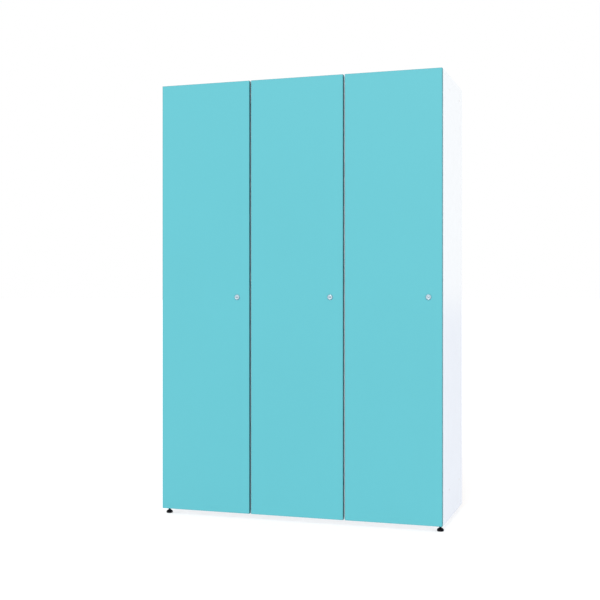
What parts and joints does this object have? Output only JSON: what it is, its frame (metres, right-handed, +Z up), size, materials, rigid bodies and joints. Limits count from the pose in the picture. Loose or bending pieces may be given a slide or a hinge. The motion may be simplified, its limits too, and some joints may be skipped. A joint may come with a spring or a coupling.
{
  "type": "locker cabinet",
  "caption": "Wide wardrobe locker: white board carcass, full-height turquoise doors on cup hinges, quarter-turn cam locks, hat shelves, hanging rails and screw-in dome feet.",
  "frame": {"origin": "middle of the bounding box footprint, on the floor under the feet", "axes": "+Z up; the doors face -Y; +X is to the right of a person facing the doors"},
  "size_m": [1.2, 0.497, 1.8244],
  "materials": {
    "white_board": "white melamine-faced chipboard, semi-gloss",
    "turquoise_board": "turquoise melamine-faced chipboard, satin",
    "hardboard": "white-faced hardboard",
    "white_edge_band": "ABS edge band, satin",
    "turquoise_edge_band": "ABS edge band, satin",
    "white_plastic": "moulded cap",
    "rail_chrome": "chromed steel tube",
    "nickel": "nickel-plated zinc",
    "zinc_steel": "zinc-plated steel",
    "hinge_steel": "nickel-plated steel",
    "bright_steel": "zinc-plated steel",
    "lock_nickel": "polished nickel plate",
    "black_plastic": "moulded black plastic, satin",
    "clear_rubber": "clear soft polyurethane"
  },
  "bodies": {
    "carcass": {"left_side_panel": "white_board", "right_side_panel": "white_board", "left_partition": "white_board", "right_partition": "white_board", "top_panel": "white_board", "bottom_panel": "white_board", "back_panel": "hardboard", "left_hat_shelf": "white_board", "middle_hat_shelf": "white_board", "right_hat_shelf": "white_board", "left_clothes_rail": "rail_chrome", "middle_clothes_rail": "rail_chrome", "right_clothes_rail": "rail_chrome", "rail_sockets": "nickel", "shelf_pins": "nickel", "carcass_edge_bands": "white_edge_band", "confirmat_screws": "zinc_steel", "screw_caps": "white_plastic", "back_nails": "zinc_steel", "panel_screws": "zinc_steel", "hinge_plates": "hinge_steel", "full_overlay_hinge_arms": "hinge_steel", "half_overlay_hinge_arms": "hinge_steel", "hinge_arm_screws": "zinc_steel", "strike_plates": "bright_steel", "foot_inserts": "zinc_steel"},
    "left_door": {"left_door_panel": "turquoise_board", "left_door_edge_bands": "turquoise_edge_band", "left_hinge_cups": "hinge_steel", "left_hinge_pins": "hinge_steel", "left_cup_screws": "zinc_steel", "left_door_bumpers": "clear_rubber", "left_lock_housing": "lock_nickel", "left_lock_nut": "zinc_steel"},
    "left_lock": {"left_lock_plug": "lock_nickel", "left_lock_cam": "bright_steel"},
    "middle_door": {"middle_door_panel": "turquoise_board", "middle_door_edge_bands": "turquoise_edge_band", "middle_hinge_cups": "hinge_steel", "middle_hinge_pins": "hinge_steel", "middle_cup_screws": "zinc_steel", "middle_door_bumpers": "clear_rubber", "middle_lock_housing": "lock_nickel", "middle_lock_nut": "zinc_steel"},
    "middle_lock": {"middle_lock_plug": "lock_nickel", "middle_lock_cam": "bright_steel"},
    "right_door": {"right_door_panel": "turquoise_board", "right_door_edge_bands": "turquoise_edge_band", "right_hinge_cups": "hinge_steel", "right_hinge_pins": "hinge_steel", "right_cup_screws": "zinc_steel", "right_door_bumpers": "clear_rubber", "right_lock_housing": "lock_nickel", "right_lock_nut": "zinc_steel"},
    "right_lock": {"right_lock_plug": "lock_nickel", "right_lock_cam": "bright_steel"},
    "front_left_foot": {"front_left_foot": "black_plastic"},
    "back_left_foot": {"back_left_foot": "black_plastic"},
    "front_right_foot": {"front_right_foot": "black_plastic"},
    "back_right_foot": {"back_right_foot": "black_plastic"}
  },
  "joints": [
    {"name": "left_door_hinge", "type": "hinge", "parent": "carcass", "child": "left_door", "pos_m": [-0.5915, -0.2382, 0.924], "axis": [0, 0, -1], "range_deg": [0, 100]},
    {"name": "left_lock_turn", "type": "hinge", "parent": "left_door", "child": "left_lock", "pos_m": [-0.259, -0.2297, 0.924], "axis": [0, -1, 0], "range_deg": [0, 90]},
    {"name": "middle_door_hinge", "type": "hinge", "parent": "carcass", "child": "middle_door", "pos_m": [-0.1895, -0.2382, 0.924], "axis": [0, 0, -1], "range_deg": [0, 100]},
    {"name": "middle_lock_turn", "type": "hinge", "parent": "middle_door", "child": "middle_lock", "pos_m": [0.143, -0.2297, 0.924], "axis": [0, -1, 0], "range_deg": [0, 90]},
    {"name": "right_door_hinge", "type": "hinge", "parent": "carcass", "child": "right_door", "pos_m": [0.2125, -0.2382, 0.924], "axis": [0, 0, -1], "range_deg": [0, 100]},
    {"name": "right_lock_turn", "type": "hinge", "parent": "right_door", "child": "right_lock", "pos_m": [0.545, -0.2297, 0.924], "axis": [0, -1, 0], "range_deg": [0, 90]},
    {"name": "front_left_foot_turn", "type": "hinge", "parent": "carcass", "child": "front_left_foot", "pos_m": [-0.585, -0.2045, 0.012], "axis": [0, 0, -1], "range_deg": [0, 2304]},
    {"name": "back_left_foot_turn", "type": "hinge", "parent": "carcass", "child": "back_left_foot", "pos_m": [-0.554, 0.2055, 0.012], "axis": [0, 0, -1], "range_deg": [0, 2304]},
    {"name": "front_right_foot_turn", "type": "hinge", "parent": "carcass", "child": "front_right_foot", "pos_m": [0.585, -0.2045, 0.012], "axis": [0, 0, -1], "range_deg": [0, 2304]},
    {"name": "back_right_foot_turn", "type": "hinge", "parent": "carcass", "child": "back_right_foot", "pos_m": [0.554, 0.2055, 0.012], "axis": [0, 0, -1], "range_deg": [0, 2304]}
  ]
}
